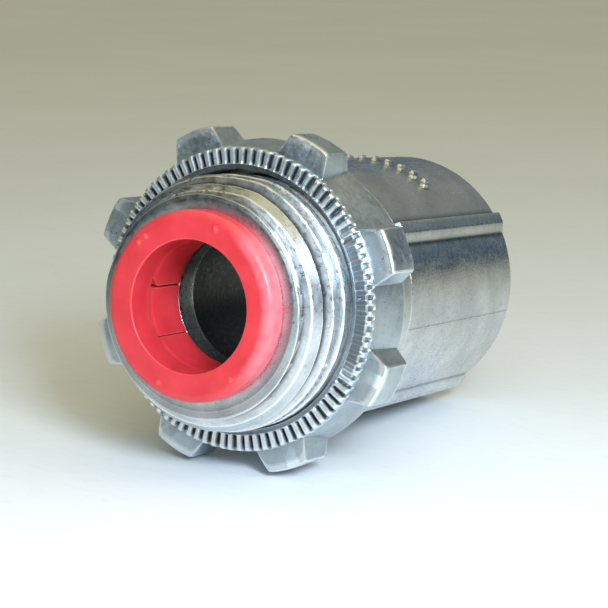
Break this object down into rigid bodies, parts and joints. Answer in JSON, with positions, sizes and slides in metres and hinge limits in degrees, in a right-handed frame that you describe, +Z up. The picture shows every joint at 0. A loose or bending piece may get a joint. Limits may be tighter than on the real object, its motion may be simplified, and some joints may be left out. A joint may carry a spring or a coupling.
{
  "type": "conduit compression fitting",
  "caption": "Die-cast conduit compression connector with a threaded nose, lugged lock nut, plastic throat bushing and ribbed gland nut.",
  "frame": {"origin": "on the fitting's axis, in the front face of the shoulder, where the box wall sits", "axes": "+Y along the axis from the nose to the conduit end, +Z up between two upper lugs of the lock nut, +X to the right seen from the nose"},
  "size_m": [0.028, 0.0381, 0.028],
  "materials": {
    "body_zinc": "die-cast zinc alloy, bright satin",
    "locknut_zinc": "die-cast zinc alloy, tumbled satin",
    "gland_nut_zinc": "die-cast zinc alloy, bright satin",
    "ring_steel": "zinc-plated steel",
    "bushing_plastic": "moulded, semi-gloss"
  },
  "bodies": {
    "connector": {"connector_body": "body_zinc", "throat_bushing": "bushing_plastic"},
    "locknut": {"locknut": "locknut_zinc"},
    "compression_ring": {"compression_ring": "ring_steel"},
    "gland_nut": {"gland_nut": "gland_nut_zinc"}
  },
  "joints": [
    {"name": "locknut_travel", "type": "slide", "parent": "connector", "child": "locknut", "axis": [0, 1, 0], "range_m": [-0.0105, 0.0006]},
    {"name": "ring_travel", "type": "slide", "parent": "connector", "child": "compression_ring", "axis": [0, 1, 0], "range_m": [0, 0.01088]},
    {"name": "gland_nut_turn", "type": "hinge", "parent": "compression_ring", "child": "gland_nut", "pos_m": [0, 0.015, 0], "axis": [0, 1, 0], "range_deg": [0, 2160]}
  ],
  "couplings": [
    {"joint": "gland_nut_turn", "follows": "ring_travel", "rad_per_m": 3463.2}
  ]
}
